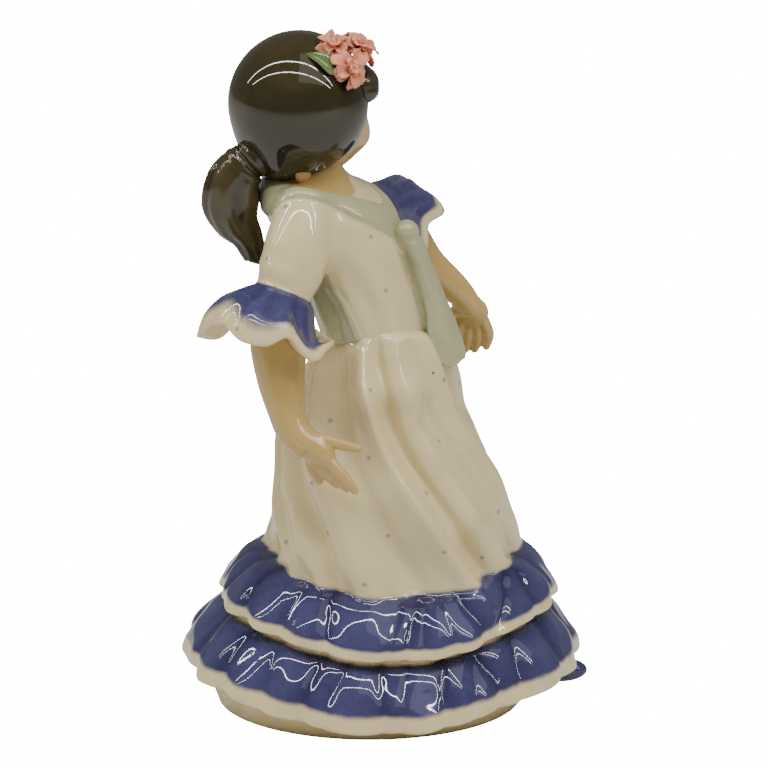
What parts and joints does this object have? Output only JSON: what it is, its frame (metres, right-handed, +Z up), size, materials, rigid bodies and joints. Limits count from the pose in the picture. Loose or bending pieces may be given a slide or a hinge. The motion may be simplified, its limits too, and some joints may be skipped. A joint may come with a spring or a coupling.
{
  "type": "porcelain flamenco dancer figurine",
  "caption": "Glazed porcelain figurine of a child dancing in a flounced dress and a knotted shawl, with a ponytail and flowers in the hair. Stands on a flat base.",
  "frame": {"origin": "on the flat underside, under the middle of the figure's plan", "axes": "+Z up; +X to the right of someone looking at the dancer's right side; +Y away from them, to the dancer's left"},
  "size_m": [0.1209, 0.1127, 0.2043],
  "materials": {
    "glazed_porcelain": "clear gloss glaze over white, blue, green, brown and flesh colours",
    "petal_paste": "pink porcelain paste, barely glazed",
    "green_paste": "soft green glaze"
  },
  "bodies": {
    "root": {"dancer": "glazed_porcelain", "carnation_crown": "petal_paste", "carnation_temple": "petal_paste", "carnation_brow": "petal_paste", "leaf": "green_paste"}
  },
  "joints": []
}
